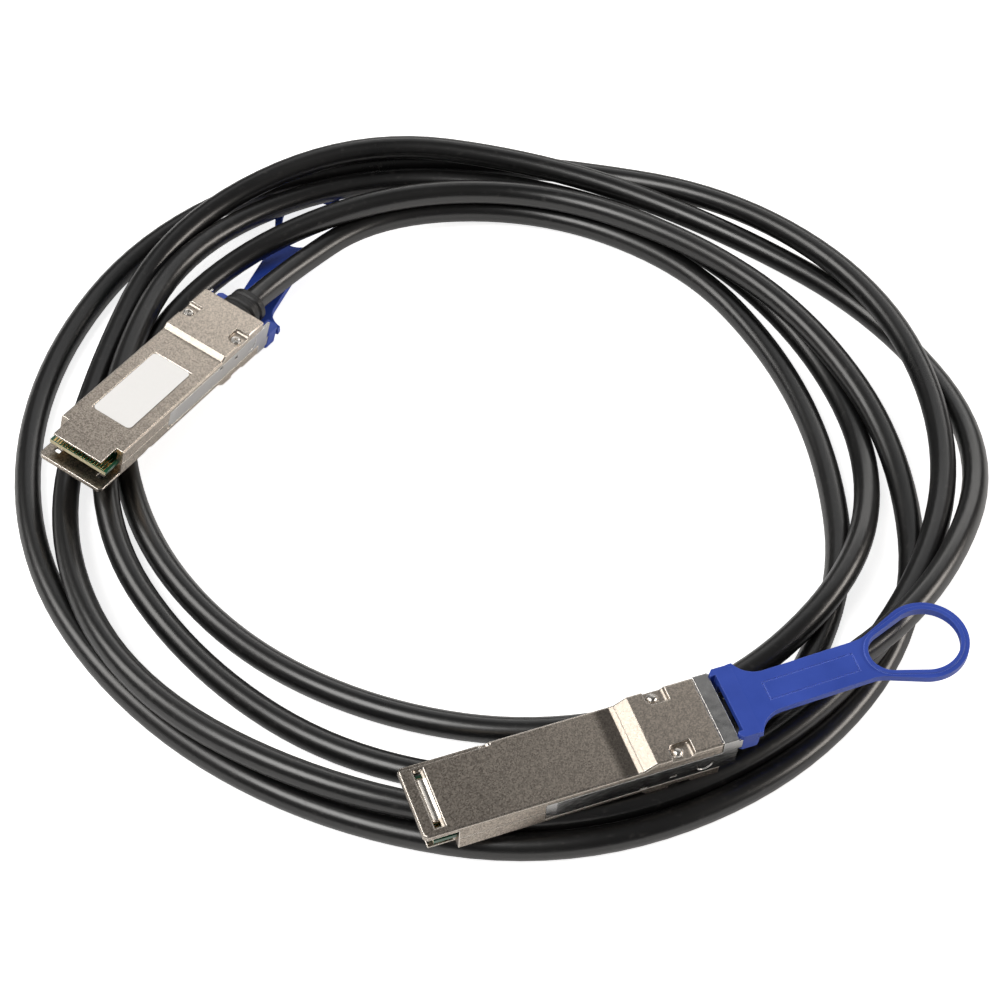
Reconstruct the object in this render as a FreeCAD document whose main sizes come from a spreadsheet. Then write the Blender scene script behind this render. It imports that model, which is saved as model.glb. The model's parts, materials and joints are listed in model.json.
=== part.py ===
import FreeCAD, Part
import math
import os
import re
import Sketcher

# A passive 100 Gb/s direct attach cable: two identical die-cast plugs with latch sliders and
# pull tabs, joined by three metres of round twinax cable that lies in a loose coil.
#
# Plug frame: u (X) runs from the nose to the cable, v (Y) is across, w (Z) is 0 on the
# in-cage plate face and falls to -body_height on the label face.

doc = FreeCAD.newDocument("DirectAttachCable")
sheet = doc.addObject("Spreadsheet::Sheet", "Dims")

SIZES = [
    ("plug_width", 18.35, "across the casting"),
    ("body_height", 8.5, "plate face to label face, inside the cage"),
    ("ramp_start", 50.4, "foot of the plate-side ramp"),
    ("ramp_run", 3.0, "length of the plate-side ramp"),
    ("plate_rise", 1.9, "how far the rear stands above the plate face"),
    ("step_start", 50.4, "foot of the label-side step"),
    ("step_run", 1.2, "length of the label-side step"),
    ("label_rise", 1.3, "how far the rear stands below the label face"),
    ("casting_end", 69.0, "rear edge of both castings"),
    ("seam_depth", 4.3, "plate face to the seam between the castings"),
    ("front_plate", 1.4, "thickness of the nose plate"),
    ("side_wall_start", 8.0, "where the closed body begins behind the nose"),
    ("side_wall", 1.75, "thickness of the side walls"),
    ("floor_wall", 1.4, "thickness of the plate-side and label-side walls"),
    ("cavity_end", 65.5, "rear end of the inner cavity"),
    ("rear_cavity_half", 5.8, "half the cavity between the screw bosses"),
    ("ledge_width", 1.0, "ledges that carry the paddle card"),
    ("ledge_length", 18.0, "ledges that carry the paddle card"),
    ("edge_round", 0.35, "long outer edges of the castings"),
    ("roof_front", 1.7, "front edge of the label-side roof"),
    ("notch_width", 2.2, "corner notches at the front of the roof"),
    ("nose_round", 0.8, "corners of the nose plate"),
    ("slot_start", 2.9, "front of the scooped recess across the nose plate"),
    ("slot_length", 2.7, "recess along the plug"),
    ("slot_half_width", 7.6, "half the recess across the plug"),
    ("slot_depth", 0.7, "depth of the recess"),
    ("slot_hole", 1.6, "square through holes near the recess ends"),
    ("slot_hole_setback", 0.27, "front of the recess to its holes"),
    ("slot_hole_inset", 0.5, "recess end to its hole"),
    ("key_groove_width", 1.0, "keying groove along one edge of the plate face"),
    ("key_groove_depth", 0.5, "its depth"),
    ("key_groove_end", 21.5, "where it runs out"),
    ("key_scoop_radius", 1.6, "round run-out of the groove"),
    ("key_scoop_depth", 0.9, "depth of the run-out"),
    ("screw_u", 58.9, "screw axis along the plug"),
    ("screw_v", 7.3, "screw axis from the middle"),
    ("screw_radius", 0.8, "shank"),
    ("screw_head_radius", 1.45, "head"),
    ("screw_head_height", 0.9, "head"),
    ("pocket_radius", 1.9, "U pocket round each screw"),
    ("pocket_depth", 1.1, "depth of the U pockets"),
    ("pocket_length", 2.2, "screw axis to the foot of the pocket's scooped rear wall"),
    ("pocket_wall_radius", 1.3, "the scooped rear wall"),
    ("screw_fit", 0.08, "screw to its hole, per side"),
    ("label_start", 15.4, "front edge of the label"),
    ("label_length", 26.2, "along the plug"),
    ("label_width", 11.0, "across the plug"),
    ("label_margin", 0.2, "recess beyond the label"),
    ("label_round", 1.2, "corners of the label"),
    ("label_recess", 0.2, "depth of the label recess"),
    ("label_thickness", 0.12, "film label"),
    ("arm_front", 28.0, "tip of the latch arms"),
    ("arm_low", 7.1, "plate face to the far edge of an arm"),
    ("arm_high", 1.7, "plate face to the near edge of an arm"),
    ("arm_thickness", 0.6, "stamped steel"),
    ("arm_gap", 0.12, "arm to its groove"),
    ("arm_taper", 2.4, "wedge at the tip of an arm"),
    ("arm_tip", 0.15, "thickness left at the tip"),
    ("window_length", 1.5, "small windows in the arms"),
    ("window_height", 0.8, "small windows in the arms"),
    ("front_window_u", 50.0, "front window, along the plug"),
    ("front_window_w", 6.0, "plate face to the front window"),
    ("rear_window_u", 57.0, "rear window, along the plug"),
    ("rear_window_w", 4.8, "plate face to the rear window"),
    ("dimple_u", 65.2, "round coined mark on each arm, along the plug"),
    ("dimple_radius", 1.9, "coined mark"),
    ("dimple_depth", 0.15, "coined mark"),
    ("latch_travel", 2.8, "how far the slider is pulled back"),
    ("bridge_start", 69.2, "front edge of the slider bridge"),
    ("bridge_length", 3.6, "bridge along the plug"),
    ("ear_end", 77.2, "rear end of the slider's ears, inside the pull tab"),
    ("ear_depth", 1.6, "plate face to the far edge of an ear"),
    ("boot_bore_gap", 0.1, "boot to the castings"),
    ("boot_radius", 4.9, "strain relief at the castings"),
    ("boot_spread", 0.7, "how far its round sides stand apart from the middle"),
    ("boot_flange_start", 63.7, "front face of the flange held inside the cavity"),
    ("boot_end", 77.8, "rear face of the strain relief"),
    ("rib_count", 3, "ribs of the strain relief"),
    ("rib_gap", 0.9, "grooves between the ribs"),
    ("rib_height", 0.9, "ribs above the grooves"),
    ("rib_taper", 0.2, "how much smaller each rib is than the one before"),
    ("rib_round", 0.45, "broken edges of the ribs"),
    ("card_front", 2.6, "front edge of the paddle card"),
    ("card_length", 33.0, "paddle card"),
    ("card_width", 16.4, "in the open nose"),
    ("card_thickness", 1.0, "paddle card"),
    ("card_depth", 4.0, "plate face to the card"),
    ("card_gap", 0.15, "card to the castings"),
    ("finger_count", 19, "contacts on each face"),
    ("finger_pitch", 0.8, "contacts"),
    ("finger_width", 0.5, "contacts"),
    ("finger_length", 5.0, "contacts"),
    ("finger_thickness", 0.05, "contacts"),
    ("finger_setback", 0.3, "front edge of the card to the contacts"),
    ("pair_count", 4, "pairs on each face of the card"),
    ("pair_pitch", 3.4, "pairs side by side"),
    ("pair_width", 2.2, "one pair"),
    ("pair_height", 1.2, "one pair"),
    ("pair_close_pitch", 1.35, "pairs side by side at the ferrule"),
    ("pair_close_width", 1.2, "one pair, squeezed at the ferrule"),
    ("ferrule_length", 5.0, "crimp ferrule"),
    ("ferrule_radius", 3.5, "crimp ferrule"),
    ("clamp_length", 4.0, "moulded wire clamp on the card"),
    ("clamp_thickness", 0.9, "moulded wire clamp"),
    ("clamp_width", 13.8, "moulded wire clamp"),
    ("clamp_setback", 2.5, "clamp to the rear edge of the card"),
    ("chip_length", 3.0, "memory chip"),
    ("chip_width", 2.0, "memory chip"),
    ("chip_height", 0.75, "memory chip"),
    ("spring_radius", 0.85, "middle of the wire"),
    ("spring_wire_radius", 0.16, "wire"),
    ("spring_turns", 5, "turns"),
    ("spring_v", 7.2, "spring axis from the middle"),
    ("spring_gap", 0.14, "spring to its pocket"),
    ("spring_rear", 68.2, "rear wall of the spring pockets"),
    ("prong_start", 60.9, "slider prong that pushes the spring"),
    ("prong_length", 0.6, "prong along the plug"),
    ("prong_half_height", 0.8, "prong"),
    ("prong_reach", 0.6, "inner side of a prong to the spring's axis"),
    ("tab_start", 74.2, "front face of the pull tab's yoke"),
    ("yoke_length", 4.0, "yoke along the plug"),
    ("yoke_half_width", 9.3, "yoke"),
    ("yoke_leg_inside", 5.9, "inner side of the yoke's legs"),
    ("yoke_leg_depth", 2.4, "plate face to the foot of the legs"),
    ("tooth_inside", 7.6, "inner side of the teeth ahead of the legs"),
    ("tooth_gap", 0.2, "teeth to the slider bridge"),
    ("yoke_round", 0.8, "broken corners of the yoke"),
    ("tab_low", 0.9, "underside of the strap above the plate face"),
    ("tab_thickness", 1.8, "strap and loop"),
    ("strap_half_width", 5.2, "strap"),
    ("strap_flare", 9.0, "hollow curve from the strap to the loop"),
    ("gusset_radius", 6.4, "hollow curve from the yoke to the strap"),
    ("gusset_reach", 4.2, "how far the hollow stands off the strap"),
    ("loop_centre", 121.4, "middle of the finger hole's large end"),
    ("loop_radius", 8.0, "the hole's large end"),
    ("loop_front", 113.5, "middle of the hole's small end"),
    ("loop_front_radius", 5.4, "the hole's small end"),
    ("loop_band", 2.0, "width of the band round the large end"),
    ("loop_front_band", 1.5, "width of the band round the small end"),
    ("loop_rim", 0.3, "height of the raised rim round the hole"),
    ("loop_rim_width", 0.9, "raised rim round the hole"),
    ("frame_start", 83.0, "engraved frame on the strap"),
    ("frame_length", 21.8, "engraved frame"),
    ("frame_half_width", 2.5, "engraved frame"),
    ("frame_line", 0.3, "width and depth of the engraved line"),
    ("cable_radius", 3.2, "round jacket"),
    ("exit_run", 15.0, "straight run of cable out of each plug"),
]

ALIASES = {alias for alias, _, _ in SIZES}
for row, (alias, number, note) in enumerate(SIZES, start=1):
    sheet.set(f"A{row}", alias)
    sheet.set(f"B{row}", str(number))
    sheet.set(f"C{row}", note)
    sheet.setAlias(f"B{row}", alias)
doc.recompute()


def size(alias):
    return float(sheet.get(alias))


def cells(text):
    """Turn plain size names in a formula into references to the sheet."""
    def cell(word):
        return ("Dims." if word.group() in ALIASES else "") + word.group()

    return re.sub(r"[a-z_]+", cell, text)


def bind(item, prop, text):
    item.setExpression(prop, cells(text))


def box(name, u, v, w):
    item = doc.addObject("Part::Box", name)
    for prop, axis, (low, high) in (("Length", "x", u), ("Width", "y", v), ("Height", "z", w)):
        bind(item, prop, f"({high}) - ({low})")
        bind(item, f".Placement.Base.{axis}", low)
    return item


def cylinder(name, centre, radius, height, axis="z"):
    item = doc.addObject("Part::Cylinder", name)
    turns = {"x": FreeCAD.Rotation(FreeCAD.Vector(0, 1, 0), 90),
             "y": FreeCAD.Rotation(FreeCAD.Vector(1, 0, 0), -90), "z": FreeCAD.Rotation()}
    item.Placement = FreeCAD.Placement(FreeCAD.Vector(), turns[axis])
    bind(item, "Radius", radius)
    bind(item, "Height", height)
    for letter, text in zip("xyz", centre):
        bind(item, f".Placement.Base.{letter}", text)
    return item


DRAFT_RADIUS = 10.0


def prism(name, corners, low, high, plane="side"):
    """A polygon of (along, up) corners run across the plug, or of (u, v) corners run along w.

    Its corners are first drawn on a circle, and their distances from the origin then place them.
    """
    sketch = doc.addObject("Sketcher::SketchObject", name + "_outline")
    turns = [2 * math.pi * i / len(corners) for i in range(len(corners))]
    spots = [FreeCAD.Vector(DRAFT_RADIUS * math.cos(turn), DRAFT_RADIUS * math.sin(turn), 0)
             for turn in turns]
    for i, spot in enumerate(spots):
        sketch.addGeometry(Part.LineSegment(spot, spots[(i + 1) % len(spots)]))
    from_origin = []
    for i, (along, up) in enumerate(corners):
        sketch.addConstraint(Sketcher.Constraint("Coincident", i, 2, (i + 1) % len(corners), 1))
        a = sketch.addConstraint(Sketcher.Constraint("DistanceX", -1, 1, i, 1, spots[i].x))
        b = sketch.addConstraint(Sketcher.Constraint("DistanceY", -1, 1, i, 1, spots[i].y))
        from_origin += [(a, along), (b, up)]
    for index, text in from_origin:
        bind(sketch, f"Constraints[{index}]", text)
    item = doc.addObject("Part::Extrusion", name)
    item.Base = sketch
    item.Solid = True
    item.DirMode = "Custom"
    if plane == "side":
        upright = FreeCAD.Rotation(FreeCAD.Vector(1, 0, 0), 90)
        sketch.Placement = FreeCAD.Placement(FreeCAD.Vector(), upright)
        item.Dir = FreeCAD.Vector(0, 1, 0)
    else:
        item.Dir = FreeCAD.Vector(0, 0, 1)
    bind(item, "LengthFwd", high)
    bind(item, "LengthRev", f"-({low})")
    return item


def cut(name, base, tools):
    item = doc.addObject("Part::Cut", name)
    item.Base = base
    item.Tool = tools[0] if len(tools) == 1 else fuse(name + "_tools", tools)
    return item


def fuse(name, shapes):
    item = doc.addObject("Part::MultiFuse", name)
    item.Shapes = shapes
    return item


def group(name, shapes):
    """Separate solids that make one node."""
    item = doc.addObject("Part::Compound", name)
    item.Links = shapes
    return item


half_width = "plug_width / 2"
label_face = "-body_height"
rear_face = "-body_height - label_rise"
boot_axis = "-body_height / 2"
bridge_end = "bridge_start + bridge_length"
SIDES = (("far", 1), ("near", -1))


def across(side, low, high):
    """The same stretch of v on either side of the middle."""
    return (f"{low}", f"{high}") if side > 0 else (f"-({high})", f"-({low})")


def break_edges(name, base, radius, chosen, kind="Chamfer"):
    """Chamfer or round the chosen edges of a finished shape."""
    doc.recompute()
    item = doc.addObject("Part::" + kind, name)
    item.Base = base
    item.Edges = [(i, radius, radius) for i, edge in enumerate(base.Shape.Edges, start=1) if chosen(edge)]
    return item


TOUCH = 1e-6


def on_side_face(edge):
    heights = {round(vertex.Y / TOUCH) for vertex in edge.Vertexes}
    return len(heights) == 1 and abs(abs(edge.Vertexes[0].Y) - size("plug_width") / 2) < TOUCH


def scoop(name, middle, v, surface, outward, radius, depth):
    """A round-bottomed trough across the plug, cut into a face that looks along outward * w."""
    return cylinder(name, (middle, v[0], f"{surface} + {outward} * ({radius} - {depth})"), radius,
                    f"({v[1]}) - ({v[0]})", "y")


def pocket(name, side, surface, outward):
    """A U pocket round a screw, open at the side of the casting, with a scooped rear wall."""
    reach = (f"{surface} - pocket_depth", f"{surface} + 1")
    if outward < 0:
        reach = (f"{surface} - 1", f"{surface} + pocket_depth")
    inner = across(side, "screw_v - pocket_radius", f"{half_width} + 1")
    return [
        cylinder(name + "_bore", ("screw_u", f"{side} * screw_v", reach[0]), "pocket_radius",
                 "pocket_depth + 1"),
        box(name + "_mouth", ("screw_u - pocket_radius", "screw_u"),
            across(side, "screw_v", f"{half_width} + 1"), reach),
        box(name + "_floor", ("screw_u", "screw_u + pocket_length"), inner, reach),
        scoop(name + "_wall", "screw_u + pocket_length", inner, surface, outward, "pocket_wall_radius",
              "pocket_depth"),
    ]


def oval(name, start, end, radius):
    """A bar along the plug with round sides, a little wider than it is high."""
    sides = [cylinder(name + "_" + tag, (start, f"{side} * boot_spread", boot_axis), radius,
                      f"{end} - ({start})", "x") for tag, side in SIDES]
    middle = box(name + "_middle", (start, end), ("-boot_spread", "boot_spread"),
                 (f"{boot_axis} - ({radius})", f"{boot_axis} + {radius}"))
    return fuse(name, sides + [middle])


def shared_cuts(p):
    """What is cut half from the base and half from the cover."""
    cuts = [oval(p + "boot_bore", "boot_flange_start - boot_bore_gap", "casting_end + 1",
                 "boot_radius + boot_bore_gap")]
    for tag, side in SIDES:
        q = p + tag
        cuts += [
            box(q + "_arm_groove", ("arm_front - arm_gap", "casting_end + 1"),
                across(side, f"{half_width} - arm_thickness - arm_gap", f"{half_width} + 1"),
                ("-arm_low - arm_gap", "-arm_high + arm_gap")),
            cylinder(q + "_spring_bore", ("prong_start - arm_gap", f"{side} * spring_v", "-seam_depth"),
                     "spring_radius + spring_wire_radius + spring_gap",
                     "spring_rear - prong_start + arm_gap", "x"),
            box(q + "_prong_window",
                ("prong_start - arm_gap", "prong_start + prong_length + latch_travel + arm_gap"),
                across(side, "spring_v - spring_radius", half_width),
                ("-seam_depth - prong_half_height - arm_gap", "-seam_depth + prong_half_height + arm_gap")),
            cylinder(q + "_screw_hole", ("screw_u", f"{side} * screw_v", f"{rear_face} - 1"),
                     "screw_radius + screw_fit", f"plate_rise + 2 - ({rear_face})"),
        ]
    return cuts


def base_shell(p):
    slab = prism(p + "slab", [
        ("0", "0"), ("ramp_start", "0"), ("ramp_start + ramp_run", "plate_rise"),
        ("casting_end", "plate_rise"), ("casting_end", "-seam_depth"),
        ("side_wall_start", "-seam_depth"), ("side_wall_start", "-front_plate"),
        ("0", "-front_plate")], f"-{half_width}", half_width)
    nose = break_edges(p + "blunt_nose", slab, size("nose_round"),
                       lambda e: on_side_face(e) and all(v.X < TOUCH for v in e.Vertexes))
    nose_end = size("nose_round") + TOUCH
    rounded = break_edges(p + "rounded_slab", nose, size("edge_round"),
                          lambda e: min(v.Z for v in e.Vertexes) > -TOUCH
                          and (on_side_face(e) or all(v.X < nose_end for v in e.Vertexes)))
    inner = f"{half_width} - side_wall"
    cuts = [
        box(p + "front_cavity", ("side_wall_start", "ramp_start"), (f"-({inner})", inner),
            ("-seam_depth", "-floor_wall")),
        box(p + "rear_cavity", ("ramp_start - 1", "cavity_end"),
            ("-rear_cavity_half", "rear_cavity_half"), ("-seam_depth", "-floor_wall")),
        box(p + "high_cavity", ("ramp_start + ramp_run", "cavity_end"),
            ("-rear_cavity_half", "rear_cavity_half"), ("-seam_depth", "plate_rise - floor_wall")),
        scoop(p + "nose_recess", "slot_start + slot_length / 2", ("-slot_half_width", "slot_half_width"),
              "0", 1, "((slot_length / 2) ^ 2 + slot_depth ^ 2) / (2 * slot_depth)", "slot_depth"),
        box(p + "key_groove", ("-1", "key_groove_end - key_scoop_radius"),
            (f"{half_width} - key_groove_width", f"{half_width} + 1"), ("-key_groove_depth", "1")),
        scoop(p + "key_run_out", "key_groove_end - key_scoop_radius",
              (f"{half_width} - key_groove_width", f"{half_width} + 1"), "0", 1, "key_scoop_radius",
              "key_scoop_depth"),
    ]
    for tag, side in SIDES:
        hole_start = "slot_start + slot_hole_setback"
        cuts.append(box(p + tag + "_nose_hole", (hole_start, f"{hole_start} + slot_hole"),
                        across(side, "slot_half_width - slot_hole_inset - slot_hole",
                               "slot_half_width - slot_hole_inset"), ("-front_plate - 1", "1")))
        cuts += pocket(p + tag + "_base_pocket", side, "plate_rise", 1)
    ledges = [box(p + tag + "_ledge", ("side_wall_start", "side_wall_start + ledge_length"),
                  across(side, f"{inner} - ledge_width", inner), ("-card_depth", "-floor_wall"))
              for tag, side in SIDES]
    hollow = cut(p + "hollow_base", rounded, cuts)
    return cut(p + "base_shell", fuse(p + "joined_base", [hollow] + ledges), shared_cuts(p + "base_"))


def cover_shell(p):
    slab = prism(p + "cover_slab", [
        ("roof_front", label_face), ("step_start", label_face), ("step_start + step_run", rear_face),
        ("casting_end", rear_face), ("casting_end", "-seam_depth"), ("side_wall_start", "-seam_depth"),
        ("side_wall_start", "-body_height + floor_wall"), ("roof_front", "-body_height + floor_wall")],
        f"-{half_width}", half_width)
    label_level = TOUCH - size("body_height")
    rounded = break_edges(p + "rounded_cover", slab, size("edge_round"),
                          lambda e: on_side_face(e) and max(v.Z for v in e.Vertexes) < label_level)
    inner = f"{half_width} - side_wall"
    cuts = [
        box(p + "cover_front_cavity", ("side_wall_start", "step_start"), (f"-({inner})", inner),
            ("-body_height + floor_wall", "-seam_depth")),
        box(p + "cover_rear_cavity", ("step_start - 1", "cavity_end"),
            ("-rear_cavity_half", "rear_cavity_half"), ("-body_height + floor_wall", "-seam_depth")),
        box(p + "cover_deep_cavity", ("step_start + step_run", "cavity_end"),
            ("-rear_cavity_half", "rear_cavity_half"), (f"{rear_face} + floor_wall", "-seam_depth")),
        box(p + "label_recess",
            ("label_start - label_margin", "label_start + label_length + label_margin"),
            ("-label_width / 2 - label_margin", "label_width / 2 + label_margin"),
            (f"{label_face} - 1", f"{label_face} + label_recess")),
    ]
    for tag, side in SIDES:
        cuts.append(box(p + tag + "_notch", ("roof_front - 1", "side_wall_start"),
                        across(side, f"{half_width} - notch_width", f"{half_width} + 1"),
                        (f"{label_face} - 1", "0")))
        cuts += pocket(p + tag + "_cover_pocket", side, rear_face, -1)
    return cut(p + "cover_shell", rounded, cuts + shared_cuts(p + "cover_"))


def paddle_card(p):
    wide = "card_width / 2"
    narrow = f"{half_width} - side_wall - card_gap"
    step = "side_wall_start - card_gap"
    rear = "card_front + card_length"
    return prism(p + "paddle_card", [
        ("card_front", f"-{wide}"), (step, f"-{wide}"), (step, f"-({narrow})"), (rear, f"-({narrow})"),
        (rear, narrow), (step, narrow), (step, wide), ("card_front", wide)],
        "-card_depth - card_thickness", "-card_depth", plane="plan")


def on_card(thickness):
    """The reach along w of whatever lies on each face of the card."""
    return (("plate", ("-card_depth", f"-card_depth + {thickness}")),
            ("label", (f"-card_depth - card_thickness - {thickness}", "-card_depth - card_thickness")))


def contact_fingers(p):
    fingers = []
    front = "card_front + finger_setback"
    for face, reach in on_card("finger_thickness"):
        for i in range(int(size("finger_count"))):
            middle = f"({i} - (finger_count - 1) / 2) * finger_pitch"
            fingers.append(box(f"{p}{face}_finger_{i}", (front, f"{front} + finger_length"),
                               (f"{middle} - finger_width / 2", f"{middle} + finger_width / 2"), reach))
    return group(p + "contact_fingers", fingers)


def memory_chip(p):
    front = "card_front + card_length / 2"
    reach = dict(on_card("chip_height"))["label"]
    chip = box(p + "chip_block", (front, f"{front} + chip_length"),
               ("-chip_width / 2", "chip_width / 2"), reach)
    return group(p + "memory_chip", [chip])


def wire_clamp(p):
    rear = "card_front + card_length - clamp_setback"
    bars = [box(f"{p}{face}_bar", (f"{rear} - clamp_length", rear),
                ("-clamp_width / 2", "clamp_width / 2"), reach)
            for face, reach in on_card("clamp_thickness")]
    return group(p + "wire_clamp", bars)


def twinax_pairs(p):
    """Eight flat pairs fan in from the paddle card to the ferrule."""
    pairs = []
    front = "card_front + card_length - clamp_setback"
    rear = "boot_flange_start - ferrule_length"
    for face, (low, high) in on_card("pair_height"):
        for i in range(int(size("pair_count"))):
            spread = f"({i} - (pair_count - 1) / 2)"
            wide = f"{spread} * pair_pitch"
            close = f"{spread} * pair_close_pitch"
            pairs.append(prism(f"{p}{face}_pair_{i}", [
                (front, f"{wide} - pair_width / 2"), (rear, f"{close} - pair_close_width / 2"),
                (rear, f"{close} + pair_close_width / 2"), (front, f"{wide} + pair_width / 2")],
                low, high, plane="plan"))
    return group(p + "twinax_pairs", pairs)


def crimp_ferrule(p):
    sleeve = cylinder(p + "sleeve", ("boot_flange_start - ferrule_length", "0", boot_axis),
                      "ferrule_radius", "ferrule_length", "x")
    return group(p + "crimp_ferrule", [sleeve])


def strain_relief(p):
    """A flange held inside the castings and three ribs behind them, on one oval core."""
    flange = box(p + "boot_flange", ("boot_flange_start", "cavity_end - boot_bore_gap"),
                 ("-rear_cavity_half + boot_bore_gap", "rear_cavity_half - boot_bore_gap"),
                 (f"{rear_face} + floor_wall + boot_bore_gap", "plate_rise - floor_wall - boot_bore_gap"))
    core = oval(p + "boot_core", "boot_flange_start", "boot_end", "boot_radius - rib_height")
    pieces = [flange, core]
    pitch = "(boot_end + rib_gap - casting_end) / rib_count"
    for i in range(int(size("rib_count"))):
        start = f"casting_end + {i} * {pitch}" if i else "boot_flange_start"
        rib = oval(f"{p}plain_rib_{i}", start, f"(casting_end + {i + 1} * {pitch} - rib_gap)",
                   f"boot_radius - {i} * rib_taper")
        pieces.append(break_edges(f"{p}rib_{i}", rib, size("rib_round"),
                                  lambda e: len({round(v.X / TOUCH) for v in e.Vertexes}) == 1
                                  and e.Vertexes[0].X > size("casting_end")))
    return fuse(p + "strain_relief", pieces)


def shell_screws(p):
    screws = []
    for tag, side in SIDES:
        q = p + tag + "_screw"
        seat = f"{rear_face} + pocket_depth"
        shank = cylinder(q + "_shank", ("screw_u", f"{side} * screw_v", seat), "screw_radius",
                         f"plate_rise - pocket_depth - ({seat})")
        head = cylinder(q + "_head", ("screw_u", f"{side} * screw_v", f"{seat} - screw_head_height"),
                        "screw_head_radius", "screw_head_height")
        screws.append(fuse(q, [shank, head]))
    return group(p + "shell_screws", screws)


def latch_slider(p):
    """One stamped steel U: a bridge over the plate side, two cheeks, two long arms and two ears."""
    bridge = ("bridge_start", bridge_end)
    pieces = [box(p + "bridge", bridge, (f"-{half_width}", half_width),
                  ("plate_rise - arm_thickness", "plate_rise"))]
    cuts = []
    for tag, side in SIDES:
        q = p + tag
        skin = across(side, f"{half_width} - arm_thickness", half_width)
        inner, outer = f"{side} * ({half_width} - arm_thickness)", f"{side} * {half_width}"
        tip = f"{side} * ({half_width} - arm_thickness + arm_tip)"
        pieces += [
            box(q + "_cheek", bridge, skin, ("-arm_low", "plate_rise")),
            box(q + "_arm", ("arm_front + arm_taper", bridge_end), skin, ("-arm_low", "-arm_high")),
            prism(q + "_wedge", [("arm_front", inner), ("arm_front + arm_taper", inner),
                                 ("arm_front + arm_taper", outer), ("arm_front", tip)],
                  "-arm_low", "-arm_high", plane="plan"),
            box(q + "_ear", (bridge_end, "ear_end"), skin, ("-ear_depth", "plate_rise - arm_thickness")),
            box(q + "_prong", ("prong_start", "prong_start + prong_length"),
                across(side, "spring_v - prong_reach", f"{half_width} - arm_thickness / 2"),
                ("-seam_depth - prong_half_height", "-seam_depth + prong_half_height")),
        ]
        for place in ("front", "rear"):
            cuts.append(box(f"{q}_{place}_window",
                            (f"{place}_window_u", f"{place}_window_u + window_length"),
                            across(side, f"{half_width} - 2 * arm_thickness", f"{half_width} + 1"),
                            (f"-{place}_window_w - window_height", f"-{place}_window_w")))
        sunk = across(side, f"{half_width} - dimple_depth", f"{half_width} + 1")
        cuts.append(cylinder(q + "_dimple", ("dimple_u", sunk[0], "-(arm_low + arm_high) / 2"),
                             "dimple_radius", "dimple_depth + 1", "y"))
    return cut(p + "latch_slider", fuse(p + "plain_slider", pieces), cuts)


def coil_spring(radius, wire_radius, turns, length, steps=9, sides=5):
    """A closed wire helix along +X, its wire drawn with flat facets."""
    rings = []
    along = FreeCAD.Vector(1, 0, 0)
    round_wire = [2 * math.pi * i / sides for i in range(sides)]
    for k in range(turns * steps + 1):
        turn = 2 * math.pi * k / steps
        out = FreeCAD.Vector(0, math.cos(turn), math.sin(turn))
        centre = out * radius + along * (length * k / (turns * steps))
        rings.append([centre + out * (wire_radius * math.cos(a)) + along * (wire_radius * math.sin(a))
                      for a in round_wire])
    faces = [Part.Face(Part.makePolygon(ring + ring[:1])) for ring in (rings[0], rings[-1])]
    for one, two in zip(rings, rings[1:]):
        for i in range(sides):
            j = (i + 1) % sides
            for corners in ((one[i], one[j], two[i]), (one[j], two[j], two[i])):
                faces.append(Part.Face(Part.makePolygon(list(corners) + [corners[0]])))
    return Part.makeSolid(Part.makeShell(faces))


def latch_springs(p):
    front = size("prong_start") + size("prong_length") + size("spring_wire_radius")
    wire = coil_spring(size("spring_radius"), size("spring_wire_radius"), int(size("spring_turns")),
                       size("spring_rear") - size("spring_wire_radius") - front)
    springs = []
    for tag, side in SIDES:
        spring = doc.addObject("Part::Feature", p + tag + "_spring")
        spring.Shape = wire
        spring.Placement = FreeCAD.Placement(
            FreeCAD.Vector(front, side * size("spring_v"), -size("seam_depth")), FreeCAD.Rotation())
        springs.append(spring)
    return group(p + "latch_springs", springs)


def drop(name, grow, front_grow, low, high):
    """A drop-shaped plate round the finger hole: two discs and the web that touches both."""
    front, rear = f"(loop_front_radius + {front_grow})", f"(loop_radius + {grow})"
    lean = f"asin(({rear} - {front}) / (loop_centre - loop_front))"
    corners = []
    for centre, radius, sides in (("loop_front", front, (-1, 1)), ("loop_centre", rear, (1, -1))):
        corners += [(f"{centre} - {radius} * sin({lean})", f"{side} * {radius} * cos({lean})")
                    for side in sides]
    discs = [cylinder(f"{name}_{centre}_disc", (centre, "0", low), radius, f"({high}) - ({low})")
             for centre, radius in (("loop_front", front), ("loop_centre", rear))]
    return discs + [prism(name + "_web", corners, low, high, plane="plan")]


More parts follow.
